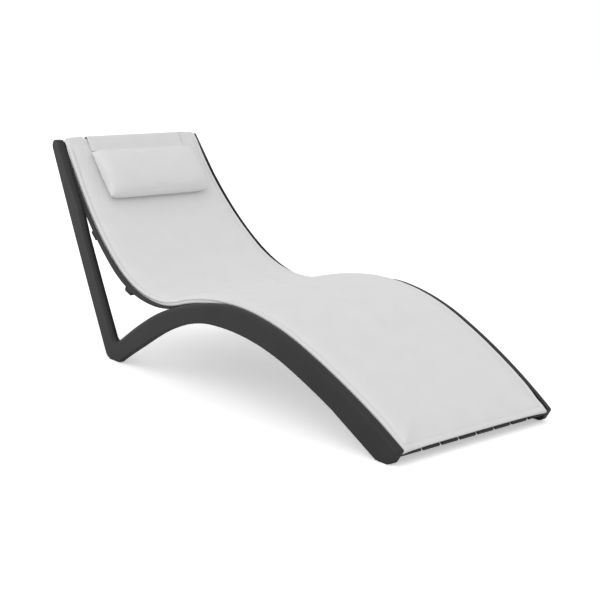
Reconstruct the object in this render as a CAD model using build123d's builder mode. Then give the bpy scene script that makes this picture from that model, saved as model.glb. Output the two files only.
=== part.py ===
# Sun lounger: two moulded side frames, a slatted deck on cross rails, a thin pad and a head pillow.
# +X runs to the foot end, +Y to the sitter's left, +Z up. The origin is on the floor at mid length.
import os
from math import cos, radians, sin, sqrt, tan

from build123d import *

os.makedirs("parts", exist_ok=True)

# deck line in side view: straight at the top, then four tangent arcs down to the foot end
back_slope = 55.92  # degrees below level at the top edge
back_flat = 75
back_radius, back_turn = 1200, 21.8
seat_radius, seat_turn = 484, 50.7
knee_radius, knee_turn = 878, 38.8
shin_radius, shin_turn = 2130, 11.3
deck_end_height = 29.5

# half widths over the side frames at the rear end, the middle and the front end
frame_half_top, frame_half_mid, frame_half_foot = 288, 337, 300
side_thickness = 21

# side frames
head_depth = 71
upright_depth = 92
upright_lean = 30.28  # degrees from vertical
gusset_along, gusset_length = 262, 96
head_rise = 6
leg_lip = 16
leg_depth = 57
rear_foot_length = 84
arch_rise = 32  # degrees at the rear foot
arch_corner_height = 61
front_heel_setback = 235
heel_steepening = 4  # degrees, front leg's underside against the deck line
head_corner, rear_foot_corner, toe_corner = 22, 30, 20
arch_corner, gusset_corner = 24, 40
frame_edge, leg_edge = 5, 14
# heights over the deck line, with their places along it as shares
arch_top_heights = ((0.387, -75), (0.447, -14), (0.5, -4), (0.55, 1), (0.6, 9))
arch_under_heights = ((0.389, -157), (0.435, -92.5), (0.501, -63), (0.56, -57))
edge_rail_heights = (
    (0.01, 0), (0.06, 12), (0.15, 16), (0.24, 16), (0.32, 16), (0.37, 12.5), (0.41, 8.5), (0.445, 3), (0.485, -1),
)

# deck
slat_count = 8
slat_pitch = 68
slat_gap = 8
slat_thickness = 8
slat_edge = 2
edge_rail_width, edge_rail_drop = 5, 4
rail_width, rail_depth = 36, 16
rail_edge = 3
rail_tenon = 10
fit_clearance = 0.3

# slat screws
screw_radius, screw_bite = 2, 6
screw_head_radius, screw_head_height = 4.5, 2.5

# glides
glide_thickness, glide_recess = 5, 3
glide_margin = 3
rear_glide_length, front_glide_length = 58, 36
glide_edge = 1

# pad
pad_thickness = 20
pad_crown, pad_end_crown = 5, 1
pad_side_draw = 3
pad_seam_inset, pad_seam_width, pad_seam_depth = 18, 5, 2.5
pad_wall = 1.5
pad_core_inset = 24
hood_wall, hood_length = 2.5, 180
strap_width, strap_wall = 25, 1.5

# pillow, its flap and its counterweight
pillow_length = 416
pillow_top, pillow_drop, pillow_height = 66, 212, 62
pillow_wall = 1.5
flap_width, flap_wall = 384, 2.5
soft_clearance = 0.5
weight_top, weight_drop, weight_length = 200, 60, 340
weight_thickness, weight_wall, weight_edge = 22, 1.5, 2

# travel of the pillow along the back, and one overrun for cuts
pillow_up, pillow_down = 55, 140
overrun = 10

# places along the deck and shapes, as shares
rail_place_shares = {
    "top_rail": 0.018,
    "back_rail": 0.19,
    "lumbar_rail": 0.33,
    "seat_rail": 0.47,
    "knee_rail": 0.62,
    "shin_rail": 0.78,
    "foot_rail": 0.93,
}
arch_join_share = 0.62
lip_join_share = 0.66
leg_top_shares = (0.72, 0.9)
strap_place_shares = (0.55, 0.85)
pad_section_count = 36
pad_ease_share = 0.06
pillow_half_shares = ((1, 0.62), (0.94, 0.84), (0.8, 0.96), (0.4, 1))
pillow_shoulder_share, pillow_shoulder_rise_share = 0.1, 0.72
pillow_bulge_share, pillow_end_share = 0.03, 0.3

# the deck line, as runs of length and curvature
deck_runs = (
    (back_flat, 0),
    (back_radius * radians(back_turn), 1 / back_radius),
    (seat_radius * radians(seat_turn), 1 / seat_radius),
    (knee_radius * radians(knee_turn), -1 / knee_radius),
    (shin_radius * radians(shin_turn), -1 / shin_radius),
)
deck_length = sum(length for length, _ in deck_runs)


def walk(along):
    """Point and heading on the deck line, measured from its top edge."""
    x, z, heading = 0, 0, radians(-back_slope)
    left = along
    for number, (length, bend) in enumerate(deck_runs):
        last = number == len(deck_runs) - 1
        step = left if last else min(left, length)
        if bend:
            x += (sin(heading + bend * step) - sin(heading)) / bend
            z -= (cos(heading + bend * step) - cos(heading)) / bend
            heading += bend * step
        else:
            x += step * cos(heading)
            z += step * sin(heading)
        left -= step
        if left <= 0:
            break
    return x, z, heading


# the line is set so that the foot end has its height and the whole lounger is centred on the origin
foot_x, foot_z, _ = walk(deck_length)
deck_rise = deck_end_height - foot_z
frame_top = deck_rise + head_rise
lean = tan(radians(upright_lean))
head_round = head_corner * (1 / cos(radians(upright_lean)) - 1) + head_corner * lean
rear_reach = -head_depth + head_round
foot_heading = walk(deck_length)[2]
front_reach = foot_x + (fit_clearance + pad_thickness + pad_end_crown) * sin(-foot_heading)
deck_shift = -(front_reach + rear_reach) / 2
half_length = (foot_x - rear_reach) / 2
frame_middle = foot_x + deck_shift - half_length


def deck_spot(along, height=0):
    """Side view point at a length along the deck and a height over it."""
    x, z, heading = walk(along)
    return x + deck_shift - height * sin(heading), z + deck_rise + height * cos(heading)


def deck_plane(along, height=0, side=0):
    """Plane across the deck, its x along +Y and its z along the deck towards the foot end."""
    x, z = deck_spot(along, height)
    heading = walk(along)[2]
    return Plane(origin=(x, side, z), x_dir=(0, 1, 0), z_dir=(cos(heading), 0, sin(heading)))


def deck_normal_plane(along, height=0, side=0):
    """Plane on the deck, its z square to the deck and upwards."""
    x, z = deck_spot(along, height)
    heading = walk(along)[2]
    return Plane(origin=(x, side, z), x_dir=(0, 1, 0), z_dir=(-sin(heading), 0, cos(heading)))


def deck_run(start, stop, height):
    """Lines and arcs along the deck at one height."""
    stops, reached = [start], 0
    for length, _ in deck_runs[:-1]:
        reached += length
        if start < reached < stop:
            stops.append(reached)
    stops.append(stop)
    for near, far in zip(stops, stops[1:]):
        if far <= back_flat:
            Line(deck_spot(near, height), deck_spot(far, height))
        else:
            middle = deck_spot((near + far) / 2, height)
            ThreePointArc(deck_spot(near, height), middle, deck_spot(far, height))


def deck_band(start, stop, low, high):
    """Side view face that follows the deck between two heights."""
    with BuildSketch() as band:
        with BuildLine():
            deck_run(start, stop, high)
            Line(deck_spot(stop, high), deck_spot(stop, low))
            deck_run(start, stop, low)
            Line(deck_spot(start, low), deck_spot(start, high))
        make_face()
    return band.sketch_local


def width_curve(halves):
    """Half width at any x, on a shallow parabola through the rear, middle and front half widths."""
    rear, middle, front = halves
    tilt = (front - rear) / 2
    sag = middle - (front + rear) / 2

    def half_width(x):
        share = (x - frame_middle) / half_length
        return middle + tilt * share - sag * share**2

    return half_width


frame_half = width_curve((frame_half_top, frame_half_mid, frame_half_foot))


def deck_half(x):
    return frame_half(x) - side_thickness


def side_curve(half):
    """Plan curve of one side, a little longer than the frame."""
    ends = [frame_middle + share * (half_length + overrun) for share in (-1, 0, 1)]
    ThreePointArc(*[(x, half(x)) for x in ends])


def plan_band(inner, outer):
    """Plan face between two side curves."""
    reach = half_length + overrun
    with BuildSketch() as band:
        with BuildLine():
            side_curve(outer)
            side_curve(inner)
            for x in (frame_middle - reach, frame_middle + reach):
                Line((x, inner(x)), (x, outer(x)))
        make_face()
    return band.sketch_local


rail_places = {name: share * deck_length for name, share in rail_place_shares.items()}
rail_low = -slat_thickness - rail_depth
tenoned = ("top_rail", "seat_rail", "knee_rail", "shin_rail", "foot_rail")
foot_level = glide_thickness - glide_recess


def rail_reach(name):
    """Half length of a cross rail: into the side frames, or up to the edge rails."""
    place = rail_places[name]
    edges = [deck_spot(place + hand * rail_width / 2, rail_low)[0] for hand in (-1, 1)]
    half = min(deck_half(x) for x in edges)
    return half + rail_tenon if name in tenoned else half


def rail_section(name, clearance=0):
    place = rail_places[name]
    low, high = rail_low - clearance, -slat_thickness + clearance
    return deck_band(place - rail_width / 2 - clearance, place + rail_width / 2 + clearance, low, high)


# side frame outline
def rear_line(z):
    """x of the upright's rear face at a height."""
    return deck_spot(0)[0] - head_depth + (frame_top - z) * lean


rear_foot_x = rear_line(foot_level)
rear_heel = (rear_foot_x + rear_foot_length, foot_level)
arch_corner_spot = (rear_line(arch_corner_height) + upright_depth, arch_corner_height)
gusset_high = deck_spot(gusset_along)
gusset_end = gusset_high[1] - gusset_length
gusset_low = (rear_line(gusset_end) + upright_depth, gusset_end)
lip_join = lip_join_share * deck_length
arch_join = arch_join_share * deck_length
front_heel_along = deck_length - front_heel_setback
heel_x, heel_z = deck_spot(front_heel_along, -leg_depth)
heel_drop = tan(radians(heel_steepening) - walk(front_heel_along)[2])
front_heel = (heel_x + (heel_z - foot_level) / heel_drop, foot_level)
lip_end = deck_spot(deck_length, leg_lip)
toe_x = lip_end[0] - (lip_end[1] - foot_level) * tan(-foot_heading)


def deck_spots(heights):
    return [deck_spot(share * deck_length, height) for share, height in heights]


def heading_vector(along):
    heading = walk(along)[2]
    return cos(heading), sin(heading)


def frame_outline():
    """Side view of a side frame: upright, arch, leg and both feet, with rounded corners."""
    head_rear = (rear_line(frame_top), frame_top)
    head_front = (deck_spot(0)[0], frame_top)
    arch_end = deck_spot(arch_join, -leg_depth)
    lip_start = deck_spot(lip_join, leg_lip)
    arch_heading = (cos(radians(arch_rise)), sin(radians(arch_rise)))
    corners = (
        (head_rear, head_corner),
        ((rear_foot_x, foot_level), rear_foot_corner),
        ((toe_x, foot_level), toe_corner),
        (arch_corner_spot, arch_corner),
        (gusset_high, gusset_corner),
        (gusset_low, gusset_corner),
    )
    with BuildSketch() as outline:
        with BuildLine():
            Polyline(head_rear, head_front, gusset_high, gusset_low, arch_corner_spot)
            Spline(
                arch_corner_spot,
                *deck_spots(arch_top_heights),
                lip_start,
                tangents=[arch_heading, heading_vector(lip_join)],
            )
            deck_run(lip_join, deck_length, leg_lip)
            Polyline(lip_end, (toe_x, foot_level), front_heel, (heel_x, heel_z))
            deck_run(arch_join, front_heel_along, -leg_depth)
            Spline(
                rear_heel,
                *deck_spots(arch_under_heights),
                arch_end,
                tangents=[arch_heading, heading_vector(arch_join)],
            )
            Polyline(rear_heel, (rear_foot_x, foot_level), head_rear)
        make_face()
        for spot, radius in corners:
            fillet(outline.vertices().sort_by_distance(Vector(*spot))[0], radius)
    return outline.sketch_local


glide_places = (
    (rear_foot_x + rear_foot_length / 2 + glide_margin, rear_glide_length),
    ((front_heel[0] + toe_x) / 2 - glide_margin, front_glide_length),
)


def glide_middle(x):
    return (frame_half(x) + deck_half(x)) / 2


def glide_width(x):
    return frame_half(x) - deck_half(x) - 2 * glide_margin


leg_top_spots = [
    Vector(x, frame_half(x), z)
    for x, z in deck_spots([*arch_top_heights[-1:], *[(share, leg_lip) for share in leg_top_shares]])
]


def outer_edges(part):
    """Edges of a side frame's outer face."""
    return part.faces().sort_by(SortBy.AREA)[-2:].sort_by(Axis.Y)[-1].edges()


with BuildPart() as side_frame_left:
    with BuildSketch(Plane.XZ):
        add(frame_outline())
    extrude(amount=frame_half_mid + overrun, both=True)
    with BuildSketch(Plane.XY):
        add(plan_band(deck_half, frame_half))
    extrude(amount=frame_top + overrun, mode=Mode.INTERSECT)
    edges = outer_edges(side_frame_left)
    top_edges = [edges.sort_by_distance(spot)[0] for spot in leg_top_spots]
    rest_spots = [edge @ (1 / 2) for edge in edges if edge not in top_edges]
    fillet(top_edges, leg_edge)
    edges = outer_edges(side_frame_left)
    nearest = [(spot, edges.sort_by_distance(spot)[0]) for spot in rest_spots]
    fillet([edge for spot, edge in nearest if edge.distance_to(spot) < frame_edge], frame_edge)
    for name in tenoned:
        with BuildSketch(Plane.XZ):
            add(rail_section(name))
        extrude(amount=rail_reach(name) + fit_clearance, both=True, mode=Mode.SUBTRACT)
    for glide_x, length in glide_places:
        with BuildSketch(Plane.XY.offset(foot_level)):
            with Locations((glide_x, glide_middle(glide_x))):
                Rectangle(length, glide_width(glide_x))
        extrude(amount=glide_recess, mode=Mode.SUBTRACT)


def save(piece, name):
    piece.part.label = name
    export_step(piece.part, f"parts/{name}.step")


save(side_frame_left, "side_frame_left")
with BuildPart() as side_frame_right:
    add(mirror(side_frame_left.part, about=Plane.XZ))
save(side_frame_right, "side_frame_right")


# deck slats, the outer two as wide as the sides leave room for
slat_places = [(number - (slat_count - 1) / 2) * slat_pitch for number in range(slat_count)]
slat_half = (slat_pitch - slat_gap) / 2
outer_slat_start = slat_places[-1] - slat_half


def rail_screw_spots(height, y):
    """Planes where the screws of one slat meet a height, square to the deck."""
    return [deck_normal_plane(place, height, y) for place in rail_places.values()]


for number, y in enumerate(slat_places):
    side = 1 if y > 0 else -1
    with BuildPart() as slat:
        if abs(y) < slat_places[-1]:
            with BuildSketch(Plane.XZ.offset(-y)):
                add(deck_band(0, deck_length, -slat_thickness, 0))
            extrude(amount=slat_half, both=True)
        else:
            with BuildSketch(Plane.XZ):
                add(deck_band(0, deck_length, -slat_thickness, 0))
            extrude(amount=frame_half_mid, both=True)
            with BuildSketch(Plane.XY):
                with Locations((0, side * (outer_slat_start + frame_half_mid / 2))):
                    Rectangle(4 * half_length, frame_half_mid)
                add(plan_band(lambda x: -deck_half(x), deck_half), mode=Mode.INTERSECT)
            extrude(amount=frame_top + overrun, mode=Mode.INTERSECT)
        fillet(slat.edges().filter_by(lambda edge: edge.length > slat_pitch), slat_edge)
        with Locations(*rail_screw_spots(-slat_thickness, y)):
            Cylinder(screw_radius, 2 * screw_bite, mode=Mode.SUBTRACT)
    save(slat, f"slat_{number + 1}")


# edge rails outside the outer slats, from the upright's head to the arch
edge_rail_ends = [edge_rail_heights[end][0] * deck_length for end in (0, -1)]
with BuildPart() as edge_rail_left:
    with BuildSketch(Plane.XZ):
        with BuildLine():
            Spline(*deck_spots(edge_rail_heights))
            deck_run(*edge_rail_ends, -edge_rail_drop)
            for along, place in zip(edge_rail_ends, (edge_rail_heights[0], edge_rail_heights[-1])):
                Line(deck_spot(along, -edge_rail_drop), deck_spot(along, place[1]))
        make_face()
    extrude(amount=frame_half_mid, both=True)
    with BuildSketch(Plane.XY):
        add(plan_band(deck_half, lambda x: deck_half(x) + edge_rail_width))
    extrude(amount=frame_top + overrun, mode=Mode.INTERSECT)
    add(side_frame_left.part, mode=Mode.SUBTRACT)
save(edge_rail_left, "edge_rail_left")
with BuildPart() as edge_rail_right:
    add(mirror(edge_rail_left.part, about=Plane.XZ))
save(edge_rail_right, "edge_rail_right")


# cross rails, bored for the slat screws
for name, place in rail_places.items():
    with BuildPart() as rail:
        with BuildSketch(Plane.XZ):
            add(rail_section(name))
        extrude(amount=rail_reach(name), both=True)
        fillet(rail.edges().filter_by(Axis.Y).sort_by(Axis.Z)[:2], rail_edge)
        for y in slat_places:
            with Locations(deck_normal_plane(place, -slat_thickness - rail_depth / 2, y)):
                Cylinder(screw_radius + fit_clearance, 2 * rail_depth, mode=Mode.SUBTRACT)
    save(rail, name)


# slat screws, driven up from below
with BuildPart() as slat_screws:
    shank = rail_depth + screw_bite - fit_clearance
    for y in slat_places:
        with Locations(*rail_screw_spots(rail_low, y)):
            Cylinder(screw_radius, shank, align=(Align.CENTER, Align.CENTER, Align.MIN))
            Cylinder(
                screw_head_radius,
                screw_head_height,
                align=(Align.CENTER, Align.CENTER, Align.MAX),
            )
save(slat_screws, "slat_screws")


# glides in the feet
for (glide_x, length), foot in zip(glide_places, ("rear", "front")):
    for side, hand in ((1, "left"), (-1, "right")):
        with BuildPart() as glide:
            with BuildSketch(Plane.XY):
                with Locations((glide_x, side * glide_middle(glide_x))):
                    Rectangle(length - 2 * fit_clearance, glide_width(glide_x) - 2 * fit_clearance)
            extrude(amount=glide_thickness)
            fillet(glide.edges().group_by(Axis.Z)[0], glide_edge)
        save(glide, f"{foot}_glide_{hand}")


# pad: a sewn cover with a channel inside its edge, and a foam core within the channel
pad_length = deck_length
pad_section_shares = [number / (pad_section_count - 1) for number in range(pad_section_count)]
pad_top = fit_clearance + pad_thickness + pad_crown


def pad_section(share, inset=0):
    """Cross section of the pad, or of its core, on the plane across the deck."""
    along = share * pad_length
    if inset:
        along = min(max(along, pad_core_inset), pad_length - pad_core_inset)
    half = deck_half(deck_spot(along)[0]) - fit_clearance
    ease = min(1, share / pad_ease_share, (1 - share) / pad_ease_share)
    crown = pad_end_crown + (pad_crown - pad_end_crown) * sqrt(ease)
    seam_outer = half - pad_seam_inset + pad_seam_width / 2
    seam_inner = seam_outer - pad_seam_width
    edge_height = pad_thickness - pad_side_draw
    with BuildSketch(deck_plane(along, fit_clearance)) as section:
        with BuildLine():
            if inset:
                core_half, high = seam_inner - inset, pad_thickness - inset
                Polyline((-core_half, high), (-core_half, inset), (core_half, inset), (core_half, high))
                ThreePointArc((core_half, high), (0, high + crown), (-core_half, high))
            else:
                Line((-half, 0), (half, 0))
                for hand in (-1, 1):
                    side_spots = (half, 0), (half - pad_side_draw / 8, edge_height / 2)
                    side_top = (half - pad_side_draw / 2, edge_height)
                    ThreePointArc(*[(hand * u, v) for u, v in (*side_spots, side_top)])
                    border = (seam_outer + half) / 2, pad_thickness - pad_side_draw / 4
                    border_end = (seam_outer, pad_thickness)
                    ThreePointArc(*[(hand * u, v) for u, v in (side_top, border, border_end)])
                    channel = (half - pad_seam_inset, pad_thickness - pad_seam_depth)
                    channel_end = (seam_inner, pad_thickness)
                    ThreePointArc(*[(hand * u, v) for u, v in (border_end, channel, channel_end)])
                crown_top = (0, pad_thickness + crown)
                ThreePointArc((-seam_inner, pad_thickness), crown_top, (seam_inner, pad_thickness))
        make_face()
    return section.sketch


with BuildPart() as pad_core:
    loft([pad_section(share, pad_wall + fit_clearance) for share in pad_section_shares])
save(pad_core, "pad_core")
with BuildPart() as pad_cover:
    loft([pad_section(share) for share in pad_section_shares])
    loft([pad_section(share, pad_wall) for share in pad_section_shares], mode=Mode.SUBTRACT)
    for along in (pad_seam_inset, pad_length - pad_seam_inset):
        x = deck_spot(along)[0]
        reach = deck_half(x) - pad_seam_inset
        with Locations(deck_plane(along, pad_thickness + pad_seam_width / 2)):
            with Locations(Rotation(0, 90, 0)):
                Cylinder(pad_seam_width / 2 + pad_seam_depth / 2, 2 * reach, mode=Mode.SUBTRACT)
save(pad_cover, "pad_cover")


# hood: the pad's cover goes over the top edge and down behind the top rail
hood_low = rail_low - screw_head_height - soft_clearance - hood_wall
hood_half = deck_half(deck_spot(-hood_wall, hood_low)[0]) - fit_clearance
with BuildPart() as pad_hood:
    with BuildSketch(Plane.XZ):
        add(deck_band(-hood_wall, 0, hood_low, pad_thickness))
        add(deck_band(-hood_wall, hood_length, hood_low, hood_low + hood_wall))
    extrude(amount=hood_half, both=True)
    fillet(pad_hood.edges().filter_by(Axis.Y).group_by(Axis.Z)[-1], hood_wall / 2)
save(pad_hood, "pad_hood")


# straps under the pad, each round one slat
with BuildPart() as pad_straps:
    for share in strap_place_shares:
        for y in (slat_places[2], slat_places[-3]):
            inner_width = 2 * (slat_half + fit_clearance)
            inner_depth = slat_thickness + fit_clearance
            with BuildSketch(deck_plane(share * deck_length, 0, y)):
                with Locations((0, -(inner_depth + strap_wall) / 2)):
                    Rectangle(inner_width + 2 * strap_wall, inner_depth + strap_wall)
                with Locations((0, -inner_depth / 2)):
                    Rectangle(inner_width, inner_depth, mode=Mode.SUBTRACT)
            extrude(amount=strap_width / 2, both=True)
save(pad_straps, "pad_straps")


# pillow: lofted across, its underside on the arc that the back follows
pillow_base = pad_top + soft_clearance
pillow_middle = pillow_top + pillow_drop / 2


def pillow_section(share, fullness, inset=0):
    """Side view section of the pillow at a share of its half length."""
    reach = pillow_length / 2 - inset
    drop = pillow_drop / 2 * (1 - (1 - fullness) * pillow_end_share) - inset
    rise = pillow_height * fullness - 2 * inset
    low = pillow_base + inset
    shoulder = drop - pillow_shoulder_share * pillow_drop
    bulge = pillow_bulge_share * pillow_drop
    with BuildSketch(Plane.XZ.offset(-share * reach)) as section:
        with BuildLine():
            ends = [deck_spot(pillow_middle + hand * drop, low) for hand in (-1, 1)]
            ThreePointArc(ends[0], deck_spot(pillow_middle, low), ends[1])
            tops = []
            for hand, end in zip((-1, 1), ends):
                side = deck_spot(pillow_middle + hand * (drop + bulge), low + rise / 3)
                top_height = low + rise * pillow_shoulder_rise_share
                tops.append(deck_spot(pillow_middle + hand * shoulder, top_height))
                ThreePointArc(end, side, tops[-1])
            ThreePointArc(tops[0], deck_spot(pillow_middle, low + rise), tops[1])
        make_face()
    return section.sketch


def pillow_form(inset=0):
    left = [(-share, fullness) for share, fullness in pillow_half_shares]
    shares = left + list(reversed(pillow_half_shares))
    return [pillow_section(share, fullness, inset) for share, fullness in shares]


with BuildPart() as pillow_cover:
    loft(pillow_form())
    loft(pillow_form(pillow_wall), mode=Mode.SUBTRACT)
save(pillow_cover, "pillow_cover")
with BuildPart() as pillow_fill:
    loft(pillow_form(pillow_wall + fit_clearance))
save(pillow_fill, "pillow_fill")


# flap: from the pillow over the top edge, then down behind the hood to the weight
flap_top_end = -hood_wall - soft_clearance - flap_wall
flap_rear_high = hood_low - soft_clearance
flap_rear_low = flap_rear_high - flap_wall
flap_stop = pillow_bulge_share * pillow_drop + 2 * soft_clearance
with BuildPart() as flap_front:
    with BuildSketch(Plane.XZ):
        add(deck_band(flap_top_end, pillow_top - flap_stop, pillow_base, pillow_base + flap_wall))
        add(deck_band(flap_top_end, flap_top_end + flap_wall, flap_rear_low, pillow_base + flap_wall))
    extrude(amount=flap_width / 2, both=True)
save(flap_front, "flap_front")
with BuildPart() as flap_rear:
    with BuildSketch(Plane.XZ):
        add(deck_band(flap_top_end + flap_wall, weight_top, flap_rear_low, flap_rear_high))
    extrude(amount=weight_length / 2, both=True)
save(flap_rear, "flap_rear")


# counterweight: a pocket with a steel bar in it
weight_low = flap_rear_high - weight_thickness
weight_end = weight_top + weight_drop
with BuildPart() as weight_pocket:
    with BuildSketch(Plane.XZ):
        add(deck_band(weight_top, weight_end, weight_low, flap_rear_high))
    extrude(amount=weight_length / 2, both=True)
    fillet(weight_pocket.edges().filter_by(Axis.Y), weight_edge)
    with BuildSketch(Plane.XZ):
        cavity = (weight_low + weight_wall, flap_rear_high - weight_wall)
        add(deck_band(weight_top + weight_wall, weight_end - weight_wall, *cavity))
    extrude(amount=weight_length / 2 - weight_wall, both=True, mode=Mode.SUBTRACT)
save(weight_pocket, "weight_pocket")
bar_radius = (weight_thickness - 2 * weight_wall) / 2 - fit_clearance
bar_height = (weight_low + flap_rear_high) / 2
bar_place = weight_end - weight_wall - fit_clearance - bar_radius
with BuildPart() as weight_bar:
    with Locations(deck_plane(bar_place, bar_height)):
        Cylinder(bar_radius, weight_length - 2 * weight_wall - 2 * fit_clearance, rotation=(0, 90, 0))
    fillet(weight_bar.edges(), weight_edge)
save(weight_bar, "weight_bar")

# the pillow and the weight both turn about the centre of the back's arc
back_centre = deck_spot(back_flat, back_radius)
print("back arc centre", back_centre, "radius", back_radius)
print("pillow up and down in radians", pillow_up / back_radius, pillow_down / back_radius)
print("half length", half_length, "top", frame_top, "deck end x", foot_x + deck_shift)
print("glides", [(x, glide_middle(x)) for x, _ in glide_places])
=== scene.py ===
from math import cos, pi, radians, sin

import bmesh
import bpy
import numpy as np
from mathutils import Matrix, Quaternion, Vector


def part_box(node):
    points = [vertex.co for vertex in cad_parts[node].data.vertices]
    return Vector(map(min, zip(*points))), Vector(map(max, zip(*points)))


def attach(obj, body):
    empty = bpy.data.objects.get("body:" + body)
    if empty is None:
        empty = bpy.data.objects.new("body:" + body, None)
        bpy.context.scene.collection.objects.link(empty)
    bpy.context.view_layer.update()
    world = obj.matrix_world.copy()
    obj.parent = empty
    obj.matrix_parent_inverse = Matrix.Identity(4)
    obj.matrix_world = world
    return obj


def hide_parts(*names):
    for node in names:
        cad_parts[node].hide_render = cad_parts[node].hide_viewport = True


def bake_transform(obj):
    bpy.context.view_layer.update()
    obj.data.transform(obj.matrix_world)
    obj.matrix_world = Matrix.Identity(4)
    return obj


# Sun lounger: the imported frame, deck, screws and glides, dressed with a sewn pad and a head pillow.
# Metres throughout, +X to the foot end, +Y to the sitter's left, +Z up.
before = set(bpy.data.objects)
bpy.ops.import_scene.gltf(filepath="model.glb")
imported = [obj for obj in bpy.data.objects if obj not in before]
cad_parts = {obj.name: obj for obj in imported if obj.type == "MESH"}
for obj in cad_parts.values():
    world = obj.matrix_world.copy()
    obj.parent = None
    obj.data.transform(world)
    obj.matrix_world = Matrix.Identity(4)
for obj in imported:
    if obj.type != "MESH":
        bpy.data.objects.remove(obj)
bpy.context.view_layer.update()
scene = bpy.context.scene
print("frame loaded,", len(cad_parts), "nodes")

# The deck line in side view, which every soft piece follows.
deckLine = {
    "slope": 55.92,  # degrees below level at the top edge
    "flat": 0.075,  # straight run at the top
    "arcs": ((1.2, 21.8), (0.484, 50.7), (0.878, -38.8), (2.13, -11.3)),  # radius, turn in degrees
    "samples": 6001,
    "slatThickness": 0.008,
    "halfWidths": (0.267, 0.316, 0.279),  # rear end, middle, front end
    "clearance": 0.0003,
}

slatLow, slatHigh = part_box("slat_4")
sideLow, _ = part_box("side_frame_left")
runLengths = [deckLine["flat"]] + [radius * radians(abs(turn)) for radius, turn in deckLine["arcs"]]
runTurns = [0] + [radians(turn) for _, turn in deckLine["arcs"]]
runEnds = np.concatenate([[0], np.cumsum(runLengths)])
runHeadings = -radians(deckLine["slope"]) + np.concatenate([[0], np.cumsum(runTurns)])
deckLength = runEnds[-1]
deckSamples = np.linspace(0, deckLength, deckLine["samples"])
sampleHeadings = np.interp(deckSamples, runEnds, runHeadings)


def runningSum(slopes):
    # trapezoid sum of a slope along the samples, from zero
    steps = np.diff(deckSamples) * (slopes[1:] + slopes[:-1]) / 2
    return np.concatenate([[0], np.cumsum(steps)])


# the slats' rear corner is their lower one, so the deck line starts a little in front of it
rearShift = deckLine["slatThickness"] * sin(radians(deckLine["slope"]))
deckX = runningSum(np.cos(sampleHeadings)) + slatLow.x + rearShift
deckZ = runningSum(np.sin(sampleHeadings)) + slatHigh.z


def deckPoints(along, height, side):
    # a point is the deck line's point at that length, raised square to the line, and moved sideways
    along, height, side = np.broadcast_arrays(along, height, side)
    inside = np.clip(along, 0, deckLength)
    heading = np.interp(inside, deckSamples, sampleHeadings)
    x = np.interp(inside, deckSamples, deckX) + (along - inside) * np.cos(heading) - height * np.sin(heading)
    z = np.interp(inside, deckSamples, deckZ) + (along - inside) * np.sin(heading) + height * np.cos(heading)
    return np.stack([x, side, z], axis=-1)


def deckHalf(along):
    # half width of the deck: a shallow parabola over x through the rear, middle and front half widths
    rear, middle, front = deckLine["halfWidths"]
    x = deckPoints(along, 0.0, 0.0)[..., 0]
    share = (x - (sideLow.x + deckX[-1]) / 2) / ((deckX[-1] - sideLow.x) / 2)
    return middle + (front - rear) / 2 * share - (middle - (front + rear) / 2) * share**2


def smoothStep(value, start, length):
    # from 0 at the start to 1 at start plus length, level at both ends
    t = np.clip((value - start) / length, 0, 1)
    return t * t * (3 - 2 * t)


def roundOff(place, power):
    # 1 in the middle and 0 at -1 and 1: the higher the power, the squarer its shoulders
    return np.sqrt(np.clip(1 - np.abs(place) ** power, 0, 1))


def bell(distance, reach):
    # 1 where the distance is zero, falling smoothly to nothing a few reaches away
    return np.exp(-((distance / reach) ** 2))


def roundedPath(corners, radius, steps=6):
    # straight runs through the corners, each corner turned by a quadratic curve of that reach
    corners = np.array(corners, float)
    points = [corners[0]]
    for before, corner, after in zip(corners, corners[1:], corners[2:]):
        reach = min(radius, np.linalg.norm(before - corner) / 2, np.linalg.norm(after - corner) / 2)
        start = corner + (before - corner) / np.linalg.norm(before - corner) * reach
        end = corner + (after - corner) / np.linalg.norm(after - corner) * reach
        t = np.linspace(0, 1, steps)[:, None]
        points.extend((1 - t) ** 2 * start + 2 * t * (1 - t) * corner + t**2 * end)
    points.append(corners[-1])
    return np.array(points)


def evenPath(points, step):
    # the same line, cut into even steps of about that length
    reached = np.concatenate([[0], np.cumsum(np.linalg.norm(np.diff(points, axis=0), axis=1))])
    stops = np.linspace(0, reached[-1], max(2, int(round(reached[-1] / step)) + 1))
    columns = [np.interp(stops, reached, points[:, k]) for k in range(points.shape[1])]
    return np.stack(columns, axis=-1), reached[-1]


def gridMesh(name, grid, weave, loopRows=False, loopColumns=False, capRows=False):
    # a grid of points joined into four-sided faces; weave is each point's place on the cloth in metres
    rows, columns = grid.shape[:2]
    r = np.arange(rows if loopRows else rows - 1)
    c = np.arange(columns if loopColumns else columns - 1)
    r, c = np.meshgrid(r, c, indexing="ij")
    here, below, right = r * columns, (r + 1) % rows * columns, (c + 1) % columns
    faces = np.stack([here + c, here + right, below + right, below + c], axis=-1)
    faces = faces.reshape(-1, 4).tolist()
    if capRows:
        faces += [list(range(columns)), list(range((rows - 1) * columns, rows * columns))]
    mesh = bpy.data.meshes.new(name)
    mesh.from_pydata(grid.reshape(-1, 3).tolist(), [], faces)
    putWeave(mesh, weave.reshape(-1, 2))
    return finishMesh(name, mesh)


def putWeave(mesh, places):
    # each point's place on the cloth, as a UV layer
    corner = np.zeros(len(mesh.loops), np.int32)
    mesh.loops.foreach_get("vertex_index", corner)
    layer = mesh.uv_layers.new(name="weave")
    layer.data.foreach_set("uv", places[corner].astype(np.float32).ravel())


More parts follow.
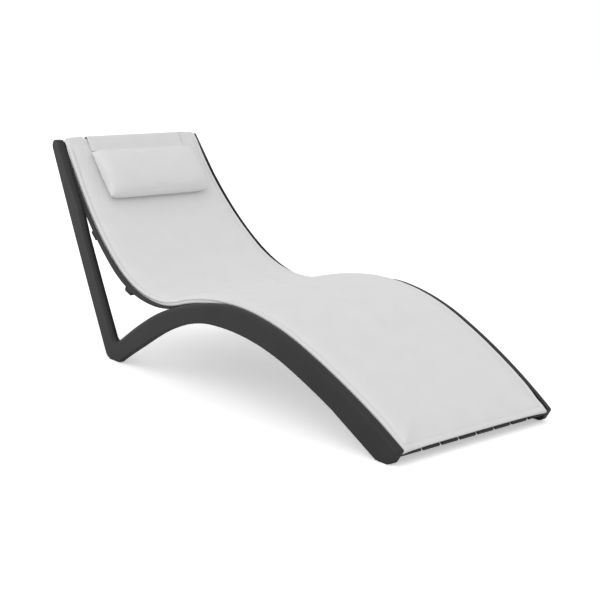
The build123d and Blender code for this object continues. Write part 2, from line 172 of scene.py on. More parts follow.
def finishMesh(name, mesh, merge=0.00002):
    # points closer than the merge distance joined, faces turned outwards, smooth shading
    work = bmesh.new()
    work.from_mesh(mesh)
    bmesh.ops.remove_doubles(work, verts=work.verts, dist=merge)
    bmesh.ops.recalc_face_normals(work, faces=work.faces)
    work.to_mesh(mesh)
    work.free()
    mesh.polygons.foreach_set("use_smooth", np.ones(len(mesh.polygons), bool))
    return putObject(name, mesh)


def putObject(name, data):
    made = bpy.data.objects.new(name, data)
    scene.collection.objects.link(made)
    return made


def ribbon(path, width, columns, thickness, thinFrom=0.985, edgeShare=0.35):
    # a flat strip: the path offset half the thickness to each side and carried across the width,
    # thinned to a share of its thickness at the side edges;
    # gives the strip's two path coordinates, its place across, and the cloth places
    spans = np.linspace(-1, 1, columns) * width / 2
    slope = np.gradient(path, axis=0)
    normal = np.stack([-slope[:, 1], slope[:, 0]], axis=-1) / np.linalg.norm(slope, axis=1)[:, None]
    loop = np.concatenate([path, path[::-1]])
    outward = np.concatenate([normal, -normal[::-1]])
    toEdge = np.clip((np.abs(spans) / np.abs(spans).max() - thinFrom) / (1 - thinFrom), 0, 1)
    thin = thickness / 2 * (1 - (1 - edgeShare) * toEdge**2)
    flat = loop[None] + outward[None] * thin[:, None, None]
    across = np.broadcast_to(spans[:, None], flat.shape[:2])
    reached = np.concatenate([[0], np.cumsum(np.linalg.norm(np.diff(loop, axis=0), axis=1))])
    weave = np.stack([np.broadcast_to(reached[None], flat.shape[:2]), across], axis=-1)
    return flat[..., 0], flat[..., 1], across, weave


# Materials. Colours are sRGB hex as on screen.


def toLinear(hexColour):
    # sRGB hex to linear light, with full alpha
    values = [int(hexColour[k : k + 2], 16) / 255 for k in (1, 3, 5)]
    return [v / 12.92 if v <= 0.04045 else ((v + 0.055) / 1.055) ** 2.4 for v in values] + [1.0]


def addNode(tree, kind, sockets=None, **settings):
    # one node, with its settings, and each input set or linked
    made = tree.nodes.new(kind)
    for name, value in settings.items():
        setattr(made, name, value)
    for name, value in (sockets or {}).items():
        if isinstance(value, bpy.types.NodeSocket):
            tree.links.new(value, made.inputs[name])
        else:
            made.inputs[name].default_value = value
    return made


def addMath(tree, operation, *values):
    return addNode(tree, "ShaderNodeMath", dict(enumerate(values)), operation=operation).outputs["Value"]


def addNoise(tree, place, scale, detail):
    sockets = {"Vector": place, "Scale": scale, "Detail": detail}
    return addNode(tree, "ShaderNodeTexNoise", sockets).outputs["Fac"]


def addRelief(tree, height, strength, distance):
    sockets = {"Height": height, "Strength": strength, "Distance": distance}
    return addNode(tree, "ShaderNodeBump", sockets).outputs["Normal"]


def colourRamp(tree, factor, finish):
    # the finish's dark and light colours, which stand at its two places in the factor's range
    ramp = addNode(tree, "ShaderNodeValToRGB", {"Fac": factor})
    colours = finish["dark"], finish["light"]
    for stop, place, colour in zip(ramp.color_ramp.elements, finish["spread"], colours):
        stop.position = place
        stop.color = toLinear(colour)
    return ramp.outputs["Color"]


def newMaterial(name):
    made = bpy.data.materials.new(name)
    made.use_nodes = True
    made.node_tree.nodes.clear()
    return made, made.node_tree


def putOut(tree, shader):
    addNode(tree, "ShaderNodeOutputMaterial", {"Surface": shader})


def putPrincipled(tree, sockets):
    putOut(tree, addNode(tree, "ShaderNodeBsdfPrincipled", sockets).outputs["BSDF"])


resinFinish = {
    "dark": "#262627",
    "light": "#2b2b2c",
    "spread": (0.35, 0.65),
    "flow": (9.0, 4.0),  # scale and detail of a cloudy variation, about 110 mm across
    "grain": (1400.0, 2.0),  # scale and detail of the moulded grain, about 0.7 mm
    "relief": (0.5, 0.00006),  # strength and height of the grain
    "roughness": (0.5, 0.62),
    "specular": 0.26,
}


def mouldedResin():
    # glass-filled resin from a spark-eroded mould: matte, a soft broad sheen, a fine even grain
    made, tree = newMaterial("mouldedResin")
    place = addNode(tree, "ShaderNodeTexCoord").outputs["Object"]
    cloud = addNoise(tree, place, *resinFinish["flow"])
    grain = addNoise(tree, place, *resinFinish["grain"])
    low, high = resinFinish["roughness"]
    rough = addNode(tree, "ShaderNodeMapRange", {"Value": cloud, "To Min": low, "To Max": high})
    sockets = {
        "Base Color": colourRamp(tree, cloud, resinFinish),
        "Roughness": rough.outputs["Result"],
        "Normal": addRelief(tree, grain, *resinFinish["relief"]),
        "Specular IOR Level": resinFinish["specular"],
    }
    putPrincipled(tree, sockets)
    return made


weaveFinish = {
    "bandSpacing": 0.314,  # between a wave texture's bands at scale 1
    "waves": {"Distortion": 0.6, "Detail": 1.0, "Detail Scale": 2.0},
    "cloud": (14.0, 3.0),  # scale and detail of an uneven colour
    "weaveShare": 0.55,  # of the weave in the colour, beside the cloud
    "relief": (0.35, 0.00016),  # strength, height of the yarns
    "cloth": {"Roughness": 0.88, "Specular IOR Level": 0.2, "Sheen Weight": 0.12, "Sheen Roughness": 0.5},
}
# thread is the spacing: in the canvas it is drawn about twice the real one so that it shows
canvasFinish = {"dark": "#d5d5d5", "light": "#dbdbdb", "spread": (0.1, 0.8), "thread": 0.0014}
webbingFinish = {"dark": "#c9c9c7", "light": "#dededc", "spread": (0.1, 0.8), "thread": 0.0022}
threadFinish = {"dark": "#d4d4d2", "light": "#ececea", "spread": (0.1, 0.8), "thread": 0.0006}


def wovenCloth(name, finish):
    # plain weave, dull and slightly fuzzy: the threads cross over and under, as two waves multiplied
    made, tree = newMaterial(name)
    place = addNode(tree, "ShaderNodeUVMap", uv_map="weave").outputs["UV"]
    scale = weaveFinish["bandSpacing"] / finish["thread"]
    bands = []
    for direction in ("X", "Y"):
        sockets = {"Vector": place, "Scale": scale, **weaveFinish["waves"]}
        bands.append(addNode(tree, "ShaderNodeTexWave", sockets, bands_direction=direction).outputs["Fac"])
    weave = addMath(tree, "MULTIPLY", *bands)
    cloud = addNoise(tree, place, *weaveFinish["cloud"])
    mixed = addMath(tree, "MULTIPLY_ADD", weave, weaveFinish["weaveShare"], cloud)
    sockets = {
        "Base Color": colourRamp(tree, mixed, finish),
        "Normal": addRelief(tree, weave, *weaveFinish["relief"]),
        **weaveFinish["cloth"],
    }
    putPrincipled(tree, sockets)
    return made


rubberFinish = {
    "dark": "#171717",
    "light": "#232323",
    "spread": (0.3, 0.7),
    "grain": (600.0, 3.0),
    "relief": (0.4, 0.00005),
    "surface": {"Roughness": 0.8, "Metallic": 0.0},
}
steelFinish = {
    "dark": "#a8a8a6",
    "light": "#c8c8c6",
    "spread": (0.3, 0.7),
    "grain": (900.0, 3.0),
    "relief": (0.4, 0.00002),
    "surface": {"Roughness": 0.35, "Metallic": 1.0},
}


def plainFinish(name, finish):
    # a small part's finish: two near colours over a noise, which is a shallow relief too
    made, tree = newMaterial(name)
    place = addNode(tree, "ShaderNodeTexCoord").outputs["Object"]
    noise = addNoise(tree, place, *finish["grain"])
    sockets = {
        "Base Color": colourRamp(tree, noise, finish),
        "Normal": addRelief(tree, noise, *finish["relief"]),
        **finish["surface"],
    }
    putPrincipled(tree, sockets)
    return made


resin = mouldedResin()
canvas = wovenCloth("wovenCanvas", canvasFinish)
webbing = wovenCloth("wovenWebbing", webbingFinish)
stitchThread = wovenCloth("polyesterThread", threadFinish)
glideRubber = plainFinish("mouldedRubber", rubberFinish)
screwSteel = plainFinish("stainlessSteel", steelFinish)


def paint(made, material):
    made.data.materials.clear()
    made.data.materials.append(material)


for nodeName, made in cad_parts.items():
    material = resin
    if "glide" in nodeName:
        material = glideRubber
    if nodeName in ("slat_screws", "weight_bar"):
        material = screwSteel
    paint(made, material)
print("CAD nodes painted")

# The pad: a sewn box pad on the deck, its border stitched down in a channel inside the edge.
pad = {
    "seamInset": 0.018,
    "nominalHalf": 0.25,  # half width from which distances and shares across are taken
    "sidePoints": 300,
    "endPoints": 84,
    "cornerEase": 0.4,  # how much closer the points lie at the corners
    "cornerDraw": 0.0055,  # how far the edges pull in between the corners
    "cornerReach": 0.04,  # over what length from a corner that grows
    "drawFade": 0.03,  # how far inside the edge it fades
    "pinch": (0.35, 0.014, 0.012),  # how much thinner a corner is, its reach, its fade inwards
    "thinEnd": (0.68, 0.055),  # how much thinner the foot end is, and over what length
    "thinCorner": (0.75, 0.035),  # how much less of that a corner has, and its reach
    "crown": 0.0004,  # the last rise to the middle
    "ripple": 0.00012,
    "rippleFrom": (0.007, 0.014),  # the height where ripples start, and over what they grow
    "wavesAlong": ((41, 2, 0), (97, 0, 1.3)),  # ripples: pace, skew from side to side, start
    "wavesAcross": ((71, 0.6), (23, 0)),  # pace, start
    "roll": 0.011,  # radius of the rolled top end
    "rollMiddle": 1.02,  # the height of its centre, in radii
    "rollRows": (6, 23),  # the section's point where the roll starts, and how many points it takes
    "rollReach": 0.02,
    "topShift": 0.0022,  # the top end's fullness past the deck's edge
    "topReach": 0.022,  # how far down the pad it is felt
    "topFrom": (0.004, 0.008),  # the height where it starts, and over what it grows
    "puff": 0.0075,  # what it has more beside the flap, which presses it down
    "puffFrom": (0.1905, 0.011),  # where the puff starts, and over what width it grows
    "puffCorner": (0.004, 0.012),  # how far inside the deck's side it ends, and its rounding
    "puffFade": (-0.024, 0.028),  # the height where it starts, and over what height it grows
    "stitch": (0.0034, 0.0008, 0.0006),  # length, width, height
    "stitchPitch": 0.005,
    "stitchRaise": 0.2,  # of a stitch's middle over the channel, as a share of its height
    "stitchFrom": -0.97,  # where the side seams start: -1 is the top end, 1 the foot end
}
# the wall from the underside up, over the border and the channel, as (inset, height) in millimetres
padWall = (
    (60, 0.3), (24, 0.3), (12, 0.3), (5, 0.3), (1.6, 0.5), (0.4, 1.3), (0.0, 3.6), (0.3, 6.0), (1.3, 7.4),
    (2.8, 8.2), (3.6, 8.7), (2.8, 9.3), (1.2, 10.1), (0.3, 11.8), (0.4, 14.0), (1.5, 16.6), (3.6, 18.6),
    (6.4, 19.7), (10, 20.0), (13, 19.4), (15.4, 18.2), (17, 16.7), (18, 16.1), (19, 16.7), (20.6, 18.2),
    (23, 20.2), (27, 21.4), (33, 22.5), (42, 23.4), (55, 24.1), (72, 24.6),
)
# below the wall and above it, points that close the underside and the top: 1 is the middle
bottomShares = np.array([1.0, 0.75, 0.5, 0.25])
topShares = np.array([0.08, 0.18, 0.3, 0.44, 0.58, 0.72, 0.86, 1.0])


def cornerEasing(count):
    # points along one edge from -1 to 1, closer together near the corners
    bend = pi * pad["cornerEase"]
    return np.sin(np.linspace(-1, 1, count) * bend) / sin(bend)


def topPuff(side, height):
    # how far the top end reaches past the deck's edge: a smooth step outside the flap, rounded off
    # at the pad's corners, and fading downwards behind the edge
    ends, rounding = pad["puffCorner"]
    corner = np.clip((deckLine["halfWidths"][0] - ends - np.abs(side)) / rounding, 0, 1)
    rounded = np.sqrt(1 - (1 - corner) ** 2)
    reach = pad["topShift"] + pad["puff"] * smoothStep(np.abs(side), *pad["puffFrom"]) * rounded
    return reach * smoothStep(height, *pad["puffFade"])


def padPoints(edgeAlong, edgeSide, inset, share, height):
    # a rectangle's edge point moved inwards by the inset and then by a share of what is left;
    # the edges are drawn in between the corners, the corners and the foot end are thinner,
    # the top ripples, and the top end is fuller beside the flap
    half, nominal = deckLength / 2, pad["nominalHalf"]
    fromCorner = np.abs(np.abs(edgeAlong) - 1) * half + np.abs(np.abs(edgeSide) - 1) * nominal
    drawn = pad["cornerDraw"] * (1 - np.exp(-fromCorner / pad["cornerReach"]))
    total = inset + drawn * np.exp(-inset / pad["drawFade"])
    along = half + edgeAlong * (half - total - share * (nominal - total))
    side = edgeSide * (deckHalf(along) - deckLine["clearance"] - total) * (1 - share)

    thinner, reach, inwards = pad["pinch"]
    pinch = 1 - thinner * bell(fromCorner, reach) * np.exp(-inset / inwards)
    spared, cornerReach = pad["thinCorner"]
    thinner, reach = pad["thinEnd"]
    thinned = thinner * (1 - spared * bell(fromCorner, cornerReach)) * bell(deckLength - along, reach)

    ripple = sum(np.sin(along * pace + edgeSide * skew + start) for pace, skew, start in pad["wavesAlong"])
    ripple = ripple + sum(np.sin(side * pace + start) for pace, start in pad["wavesAcross"])
    start, growth = pad["rippleFrom"]
    lift = pad["ripple"] * ripple * np.clip((height - start) / growth, 0, 1)
    up = deckLine["clearance"] + (height - deckLine["clearance"]) * pinch * (1 - thinned) + lift

    start, growth = pad["topFrom"]
    topEnd = bell(along, pad["topReach"]) * np.clip((height - start) / growth, 0, 1)
    return along - topPuff(side, pad["roll"]) * topEnd, side, up


def makePad():
    # the wall's section carried round the rectangle's edge, closed below and above by the shares;
    # the top end is rolled instead: a half circle in place of the border and the channel
    long, short = cornerEasing(pad["sidePoints"]), cornerEasing(pad["endPoints"])
    foot, left = np.ones(len(short) - 1), np.ones(len(long) - 1)
    edgeAlong = np.concatenate([long[:-1], foot, long[::-1][:-1], -foot])
    edgeSide = np.concatenate([left, short[::-1][:-1], -left, short[:-1]])

    wall = np.array(padWall) / 1000
    atBottom, atTop = np.ones(len(bottomShares)), np.ones(len(topShares))
    inset = np.concatenate([atBottom * wall[0, 0], wall[:, 0], atTop * wall[-1, 0]])
    share = np.concatenate([bottomShares, np.zeros(len(wall)), topShares])
    crown = wall[-1, 1] + pad["crown"] * np.sin(topShares * pi / 2)
    height = np.concatenate([atBottom * wall[0, 1], wall[:, 1], crown])

    start, count = pad["rollRows"]
    t = np.clip((np.arange(len(inset)) - start) / count, 0, 1)
    rolled = (t > 0) & (t < 1)
    rollInset = np.where(rolled, pad["roll"] * (1 - np.sin(pi * t)), inset)
    rollHeight = np.where(rolled, pad["roll"] * (pad["rollMiddle"] - np.cos(pi * t)), height)
    toTop = bell((edgeAlong + 1) * deckLength / 2, pad["rollReach"])[None]
    inset = inset[:, None] * (1 - toTop) + rollInset[:, None] * toTop
    height = height[:, None] * (1 - toTop) + rollHeight[:, None] * toTop

    along, side, up = padPoints(edgeAlong[None], edgeSide[None], inset, share[:, None], height)
    # the cloth goes on down the wall, so there its place across grows with the height
    weave = np.stack([along, side + up * np.sign(edgeSide)[None] * (share[:, None] == 0)], axis=-1)
    made = gridMesh("pad", deckPoints(along, up, side), weave, loopColumns=True)
    paint(made, canvas)
    return made


def beadShape():
    # one stitch of unit size: a six-sided ring, a short ridge above it and a point below it
    ring = [(-0.5, 0, 0), (-0.25, 0.5, 0), (0.25, 0.5, 0), (0.5, 0, 0), (0.25, -0.5, 0), (-0.25, -0.5, 0)]
    points = np.array(ring + [(-0.2, 0, 0.5), (0.2, 0, 0.5), (0, 0, -0.4)])
    over = [(0, 1, 6), (1, 2, 6), (2, 7, 6), (2, 3, 7), (3, 4, 7), (4, 5, 7), (5, 6, 7), (5, 0, 6)]
    under = [((k + 1) % 6, k, 8) for k in range(6)]
    return points, np.array(over + under)


def makeStitches():
    # stitches lie end to end in the channel, along both sides and across the foot end
    seamHeight = dict(padWall)[pad["seamInset"] * 1000] / 1000
    sideCount = int((deckLength - 2 * pad["seamInset"]) / pad["stitchPitch"])
    endCount = int(2 * pad["nominalHalf"] / pad["stitchPitch"])
    sideSeam = np.linspace(pad["stitchFrom"], 1, sideCount)
    seams = [(sideSeam, np.full(sideCount, -1.0)), (sideSeam, np.full(sideCount, 1.0))]
    seams.append((np.ones(endCount), np.linspace(-1, 1, endCount)))
    centres, headings = [], []
    for edgeAlong, edgeSide in seams:
        along, side, up = padPoints(edgeAlong, edgeSide, pad["seamInset"], 0.0, seamHeight)
        points = deckPoints(along, up + pad["stitch"][2] * pad["stitchRaise"], side)
        centres.append(points)
        headings.append(np.gradient(points, axis=0))
    centres, headings = np.concatenate(centres), np.concatenate(headings)
    headings /= np.linalg.norm(headings, axis=1)[:, None]
    ups = np.array([0.0, 0.0, 1.0]) - headings * headings[:, 2:3]
    ups /= np.linalg.norm(ups, axis=1)[:, None]
    axes = np.stack([headings, np.cross(ups, headings), ups], axis=1)
    bead, faces = beadShape()
    points = centres[:, None] + (bead * pad["stitch"]) @ axes
    every = (faces[None] + (np.arange(len(centres)) * len(bead))[:, None, None]).reshape(-1, 3)
    mesh = bpy.data.meshes.new("padStitches")
    mesh.from_pydata(points.reshape(-1, 3).tolist(), [], every.tolist())
    mesh.uv_layers.new(name="weave")
    made = putObject("padStitches", mesh)
    paint(made, stitchThread)
    return made


padPiece = makePad()
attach(padPiece, "frame")
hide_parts("pad_cover", "pad_core")
stitchPiece = makeStitches()
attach(stitchPiece, "frame")
print("pad made,", len(padPiece.data.polygons), "faces")

# The hood: a panel from the pad's end seam over the top edge and down behind the top rail.
hood = {
    "thickness": 0.002,
    "narrower": 0.006,  # than the deck, on each side
    "seam": (0.001, 0.0105),  # its front edge on the pad's end: along, height
    "edge": -0.0013,
    "edgeDrop": 0.003,  # from the seam to the turn at the edge
    "behind": 0.0282,  # depth of the rear panel under the deck's top
    "length": 0.18,
    "turn": 0.004,
    "step": 0.004,
    "columns": 90,
    "sag": (0.0007, 33, 1, 0.05),  # depth, waves' pace and start, over what length it grows
    "fullTo": 0.01,  # the panel shares the pad's fullness up to here
}


def makeHood():
    # a strip round the edge, pushed out by the pad's full end, with a shallow wave behind
    seamAlong, seamHeight = hood["seam"]
    corners = [
        (seamAlong, seamHeight),
        (hood["edge"], seamHeight - hood["edgeDrop"]),
        (hood["edge"], -hood["behind"]),
        (hood["length"], -hood["behind"]),
    ]
    path, length = evenPath(roundedPath(corners, hood["turn"]), hood["step"])
    width = 2 * (deckLine["halfWidths"][0] - hood["narrower"])
    along, height, side, weave = ribbon(path, width, hood["columns"], hood["thickness"])
    depth, pace, start, growth = hood["sag"]
    sag = depth * np.sin(side * pace + start) * np.clip(along / growth, 0, 1)
    along = along - topPuff(side, height) * (along < hood["fullTo"])
    grid = deckPoints(along, height + sag, side)
    made = gridMesh("padHood", grid, weave, loopColumns=True, capRows=True)
    paint(made, canvas)
    return made, (width, length)


hoodPiece, hoodFlat = makeHood()
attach(hoodPiece, "frame")
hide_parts("pad_hood")
print("hood made")

# Straps: loops of webbing under the pad, each round one slat.
strap = {
    "width": 0.025,
    "thickness": 0.0015,
    "slatHalf": 0.03,
    "slatPitch": 0.068,
    "slatsOut": 1.5,  # from the middle to the strap's slat, in pitches
    "places": (0.55, 0.85),  # shares of the deck's length
    "top": -0.0002,
    "turn": 0.004,
    "step": 0.0025,
    "columns": 13,
}


def makeStrap(name, along, middle):
    # a strip bent down one side of the slat, under it and up the other side
    around = deckLine["clearance"] + strap["thickness"] / 2
    half, low = strap["slatHalf"] + around, -deckLine["slatThickness"] - around
    corners = [(-half, strap["top"]), (-half, low), (half, low), (half, strap["top"])]
    path, length = evenPath(roundedPath(corners, strap["turn"]), strap["step"])
    across, height, shift, weave = ribbon(path, strap["width"], strap["columns"], strap["thickness"])
    grid = deckPoints(along + shift, height, middle + across)
    made = gridMesh(name, grid, weave, loopColumns=True, capRows=True)
    paint(made, webbing)
    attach(made, "frame")
    return made


straps = []
for place in strap["places"]:
    for side in (-1, 1):
        middle = side * strap["slatsOut"] * strap["slatPitch"]
        straps.append(makeStrap(f"padStrap{len(straps) + 1}", place * deckLength, middle))
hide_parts("pad_straps")
print("straps made")

# The pillow: two canvas panels sewn round their edge and stuffed, swelled by cloth simulation.
pillow = {
    "top": 0.052,  # from the deck's top edge to the pillow's upper seam
    "drop": 0.229,
    "length": 0.416,
    "rise": 0.06,
    "base": 0.0256,  # height just over the pad's top, where the pillow lies
    "rows": 61,
    "columns": 121,
    "growth": (0.004, 0.001, 0.014),  # left to the swelling: down, over the length, in the rise
    "endPower": 10,
    "fullness": (1.08, 0.42),  # the first moves the fullest place down, the second squares the section
    "cornerDraw": (0.075, 5),  # how much shorter the ends are from seam to seam, and its power
    "waist": 0.012,  # how much the length draws in halfway down, and how much it tapers
    "sideShift": 0.002,
    "seam": (0.004, 0.013, 0.7),  # height of the upper seam, what it rises downwards, and its power
    "seamEnds": (0.006, 6),  # how much higher the seam is at the ends, and its power
    "under": (0.0006, 1.6),  # gap under the lower sheet, and how soon it lies flat
    "voxel": 0.0045,
    "pressure": 4.0,
    "stiffness": 25,
    "bending": 1.2,
    "quality": 6,
    "frames": 20,
    "cap": 0.006,  # the most that a point moves
    "weaveLean": 0.3,  # how the weave runs on up the sides
}


def pillowStart():
    # two sheets over a rectangle, joined at its edge: the upper one rises by a power of a sine from
    # the upper seam to the lower, fullest just below the middle, and the lower one lies nearly flat
    down = np.linspace(0, 1, pillow["rows"])[:, None]
    across = np.linspace(-1, 1, pillow["columns"])[None]
    shift, square = pillow["fullness"]
    swell = np.nan_to_num(np.sin(pi * down**shift) ** square * roundOff(across, pillow["endPower"]))

    inside, longer, thinner = pillow["growth"]
    shorter, power = pillow["cornerDraw"]
    narrow = 0.5 + (down - 0.5) * (1 - shorter * np.abs(across) ** power)
    u = pillow["top"] + inside + (pillow["drop"] - 2 * inside) * narrow
    waist = 1 - pillow["waist"] * np.sin(pi * down) + pillow["waist"] * (0.5 - down)
    v = across * (pillow["length"] / 2 + longer) * waist + pillow["sideShift"]

    first, gain, bend = pillow["seam"]
    higher, power = pillow["seamEnds"]
    seam = pillow["base"] + first + gain * down**bend + higher * np.abs(across) ** power
    upper = seam + (pillow["rise"] - thinner) * swell
    gap, flatter = pillow["under"]
    under = seam - (seam - pillow["base"] - gap) * np.clip(swell * flatter, 0, 1)
    u, v = np.broadcast_arrays(u, v)
    return np.concatenate([np.stack([u, v, upper], -1), np.stack([u, v, under], -1)[::-1]], axis=0)


def swellUp(made):
    # voxel remesh, then cloth with pressure and no gravity; gives the points, each moved no more
    # than the cap
    remesh = made.modifiers.new("remesh", "REMESH")
    remesh.mode, remesh.voxel_size, remesh.use_smooth_shade = "VOXEL", pillow["voxel"], True
    applyAll(made)
    before = vertexArray(made)
    cloth = made.modifiers.new("cloth", "CLOTH")
    cloth.settings.use_pressure = True
    cloth.settings.uniform_pressure_force = pillow["pressure"]
    cloth.settings.effector_weights.gravity = 0
    cloth.settings.tension_stiffness = pillow["stiffness"]
    cloth.settings.compression_stiffness = pillow["stiffness"]
    cloth.settings.bending_stiffness = pillow["bending"]
    cloth.settings.quality = pillow["quality"]
    scene.frame_start, scene.frame_end = 1, pillow["frames"]
    cloth.point_cache.frame_start, cloth.point_cache.frame_end = 1, pillow["frames"]
    for step in range(1, pillow["frames"] + 1):
        scene.frame_set(step)
    applyAll(made)
    moved = vertexArray(made) - before
    distance = np.linalg.norm(moved, axis=1)[:, None]
    scene.frame_set(1)
    return before + moved * (pillow["cap"] / np.maximum(distance, pillow["cap"]))


def applyAll(made):
    # the shape with its modifiers becomes the mesh, which then has none
    graph = bpy.context.evaluated_depsgraph_get()
    mesh = bpy.data.meshes.new_from_object(made.evaluated_get(graph), depsgraph=graph)
    made.modifiers.clear()
    made.data = mesh


def vertexArray(made):
    points = np.zeros(len(made.data.vertices) * 3, np.float32)
    made.data.vertices.foreach_get("co", points)
    return points.reshape(-1, 3).astype(float)


def makePillow():
    # swelled on a flat deck, then bent along the deck line and subdivided once
    start = pillowStart()
    made = gridMesh("headPillow", start, start[..., :2].copy(), loopRows=True)
    flat = swellUp(made)
    flat[:, 2] = np.maximum(flat[:, 2], pillow["base"])
    mesh = made.data
    for layer in list(mesh.uv_layers):
        mesh.uv_layers.remove(layer)
    putWeave(mesh, flat[:, :2] + flat[:, 2:] * pillow["weaveLean"])
    bent = deckPoints(flat[:, 0], flat[:, 2], flat[:, 1])
    mesh.vertices.foreach_set("co", bent.astype(np.float32).ravel())
    mesh.polygons.foreach_set("use_smooth", np.ones(len(mesh.polygons), bool))
    finer = made.modifiers.new("finer", "SUBSURF")
    finer.levels = finer.render_levels = 1
    applyAll(made)
    paint(made, canvas)
    return made


pillowPiece = makePillow()
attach(pillowPiece, "pillow")
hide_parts("pillow_cover", "pillow_fill")
print("pillow made,", len(pillowPiece.data.polygons), "faces")

# The flap: one strip of canvas from the pillow over the top edge, then down behind to the weight.
flap = {
    "thickness": 0.0022,
    "width": 0.384,
    "rearWidth": 0.34,
    "sewnIn": (0.008, 0.0035),  # how far its end goes under the pillow, and rises there
    "lift": (0.05, 0.0001),  # where it rises off the pad, and how much
    "over": 0.0262,  # height over the deck, on the pad
    "edge": -0.0065,
    "behind": 0.0313,  # depth behind, under the deck's top
    "join": 0.004,  # from the edge to where the rear strip starts
    "blendFrom": 0.01,
    "weightTop": 0.2,
    "tail": 0.006,  # what goes on into the pocket
    "turns": (0.013, 0.004),  # front and rear strip
    "step": 0.003,
    "columns": 70,
}


def makeFlap(name, replaced, corners, width, turn):
    path, length = evenPath(roundedPath(corners, turn), flap["step"])
    along, height, side, weave = ribbon(path, width, flap["columns"], flap["thickness"])
    made = gridMesh(name, deckPoints(along, height, side), weave, loopColumns=True, capRows=True)
    paint(made, canvas)
    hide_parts(replaced)
    return made


def deckSpot(along, height):
    return tuple(deckPoints(along, height, 0.0).tolist())


sewnIn, sewnRise = flap["sewnIn"]
liftPlace, lift = flap["lift"]
joinSpot = (flap["edge"] + flap["join"], -flap["behind"])
frontCorners = [
    (pillow["top"] + sewnIn, flap["over"] + sewnRise),
    (liftPlace, flap["over"] + lift),
    (flap["edge"], flap["over"]),
    (flap["edge"], -flap["behind"]),
    joinSpot,
]
rearCorners = [joinSpot, (flap["weightTop"] + flap["tail"], -flap["behind"])]
frontTurn, rearTurn = flap["turns"]
flapFront = makeFlap("flapFront", "flap_front", frontCorners, flap["width"], frontTurn)
deckSpot(0.0, 0.0)
deckSpot(pillow["top"], 0.0)
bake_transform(flapFront)
flapRear = makeFlap("flapRear", "flap_rear", rearCorners, flap["rearWidth"], rearTurn)
rearStart = deckSpot(flap["blendFrom"], -flap["behind"])
rearEnd = deckSpot(flap["weightTop"], -flap["behind"])
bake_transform(flapRear)
print("flap made")

# The weight pocket: a flat canvas pocket as wide as the flap's rear, bulged round the steel bar it holds;
# the bar itself is hidden.
pocket = {
    "drop": 0.06,
    "thickness": 0.0215,
    "high": 0.0302,  # depth of its inner sheet under the deck's top
    "rows": 41,
    "columns": 101,
    "bar": (0.74, 0.2, 14),  # the bulge's place down the pocket, its reach, and its power across
    "hem": (0.12, 8, 20),  # thickness of the rest, and its powers down and across
    "barPower": 12,
    "seamShare": 0.01,  # of the drop, left at the top and the bottom
    "seamWidth": 0.001,
    "innerDraw": (0.0012, 3),  # how far the seam stands off, and how soon that fades
    "sheets": (0.0008, 0.003),  # least gap between the sheets, and what they take off the bulge
    "weaveLean": 0.5,  # how the weave runs on over the bulge
}


def makePocket():
    # two sheets joined at the edge: the outer one is thin at the hem and bulges round the bar below
    down = np.linspace(0, 1, pocket["rows"])[:, None]
    across = np.linspace(-1, 1, pocket["columns"])[None]
    place, reach, power = pocket["bar"]
    bar = bell(down - place, reach) * (1 - np.abs(across) ** power)
    thin, powerDown, powerAcross = pocket["hem"]
    hem = thin * roundOff(2 * down - 1, powerDown) * roundOff(across, powerAcross)
    swell = np.clip(bar * roundOff(2 * down - 1, pocket["barPower"]) + hem, 0, 1)
    u = flap["weightTop"] + pocket["drop"] * (pocket["seamShare"] + (1 - 2 * pocket["seamShare"]) * down)
    v = across * (flap["rearWidth"] / 2 - pocket["seamWidth"])
    drawn, fading = pocket["innerDraw"]
    inner = -pocket["high"] - drawn * (1 - np.clip(swell * fading, 0, 1))
    least, taken = pocket["sheets"]
    outer = inner - least - (pocket["thickness"] - taken) * swell
    u, v = np.broadcast_arrays(u, v)
    sheets = np.concatenate([np.stack([u, outer, v], -1), np.stack([u, inner, v], -1)[::-1]])
    along, height, side = np.moveaxis(sheets, -1, 0)
    weave = np.stack([along - height * pocket["weaveLean"], side], axis=-1)
    made = gridMesh("weightPocket", deckPoints(along, height, side), weave, loopRows=True)
    fillHoles(made)
    paint(made, canvas)
    return made


def fillHoles(made):
    # the open edges at the ends are closed with faces
    work = bmesh.new()
    work.from_mesh(made.data)
    bmesh.ops.holes_fill(work, edges=[edge for edge in work.edges if edge.is_boundary])
    bmesh.ops.recalc_face_normals(work, faces=work.faces)
    work.to_mesh(made.data)
    work.free()


pocketPiece = makePocket()
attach(pocketPiece, "weight")
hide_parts("weight_pocket", "weight_bar")
print("weight pocket made")

# Floor, light and camera.
studio = {
    "worldStrength": 0.85,
    "sunStrength": 0.75,
    "sunFrom": (0.05, -0.75, 0.6),
    "sunSpread": 80.0,  # degrees, for a soft shadow
    "floorColour": "#f4f4f4",
    "floorLift": 0.42,
    "floorSize": 60.0,
    "white": "#ffffff",
}


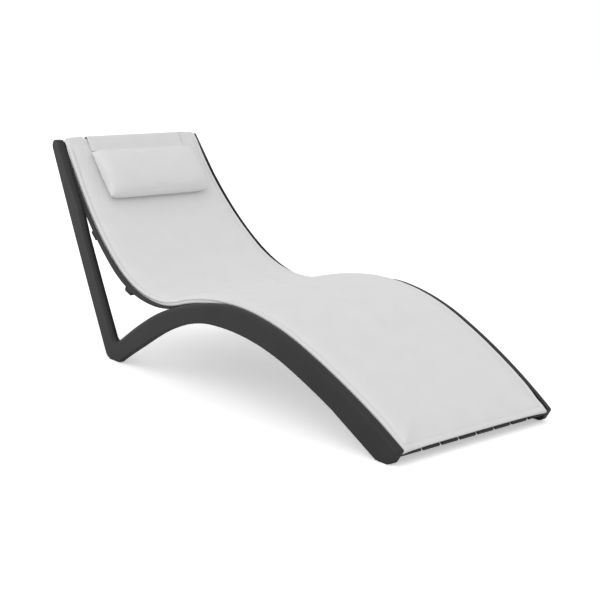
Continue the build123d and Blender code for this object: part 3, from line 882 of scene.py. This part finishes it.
def makeWorld():
    # lights with its own strength, and is plain white where the camera or a reflection sees it
    world = bpy.data.worlds.new("paleStudio")
    scene.world = world
    world.use_nodes = True
    tree = world.node_tree
    tree.nodes.clear()
    rays = addNode(tree, "ShaderNodeLightPath").outputs
    seen = addMath(tree, "MAXIMUM", rays["Is Camera Ray"], rays["Is Glossy Ray"])
    seen = addMath(tree, "MAXIMUM", seen, rays["Is Transmission Ray"])
    white = toLinear(studio["white"])
    lit = addNode(tree, "ShaderNodeBackground", {"Color": white, "Strength": studio["worldStrength"]})
    plain = addNode(tree, "ShaderNodeBackground", {"Color": white, "Strength": 1.0})
    both = addNode(tree, "ShaderNodeMixShader", {0: seen, 1: lit.outputs[0], 2: plain.outputs[0]})
    addNode(tree, "ShaderNodeOutputWorld", {"Surface": both.outputs[0]})


def makeSun():
    lamp = bpy.data.lights.new("sun", "SUN")
    lamp.energy = studio["sunStrength"]
    lamp.angle = radians(studio["sunSpread"])
    made = putObject("sun", lamp)
    made.rotation_euler = Vector(studio["sunFrom"]).to_track_quat("Z", "Y").to_euler()


def makeFloor():
    # a pale matt plane, with a glow of its own that only the camera sees
    size = studio["floorSize"] / 2
    corners = [(-size, -size, 0), (size, -size, 0), (size, size, 0), (-size, size, 0)]
    mesh = bpy.data.meshes.new("floor")
    mesh.from_pydata(corners, [], [(0, 1, 2, 3)])
    floor = putObject("floor", mesh)
    made, tree = newMaterial("paleFloor")
    rays = addNode(tree, "ShaderNodeLightPath").outputs
    matt = addNode(tree, "ShaderNodeBsdfDiffuse", {"Color": toLinear(studio["floorColour"])})
    lift = addMath(tree, "MULTIPLY", rays["Is Camera Ray"], studio["floorLift"])
    glow = addNode(tree, "ShaderNodeEmission", {"Color": toLinear(studio["white"]), "Strength": lift})
    both = addNode(tree, "ShaderNodeAddShader", {0: matt.outputs[0], 1: glow.outputs[0]})
    putOut(tree, both.outputs[0])
    paint(floor, made)


view = {
    "azimuth": 50.797,  # degrees
    "elevation": 12.075,
    "roll": 0.246,
    "lens": 71.4,  # millimetres
    "sensor": 36.0,
    "clip": (0.05, 200.0),
    "place": (2.9209, -2.2717, 1.0332),
}


def makeCamera():
    data = bpy.data.cameras.new("camera")
    data.lens, data.sensor_width = view["lens"], view["sensor"]
    data.clip_start, data.clip_end = view["clip"]
    made = putObject("camera", data)
    made.location = view["place"]
    turn, tip = radians(view["azimuth"]), radians(view["elevation"])
    looking = Vector((-sin(turn) * cos(tip), cos(turn) * cos(tip), -sin(tip)))
    level = looking.to_track_quat("-Z", "Y")
    made.rotation_euler = (level @ Quaternion((0, 0, 1), radians(view["roll"]))).to_euler()
    scene.camera = made


makeWorld()
makeSun()
makeFloor()
makeCamera()
scene.view_settings.view_transform = "Standard"
print("studio made")
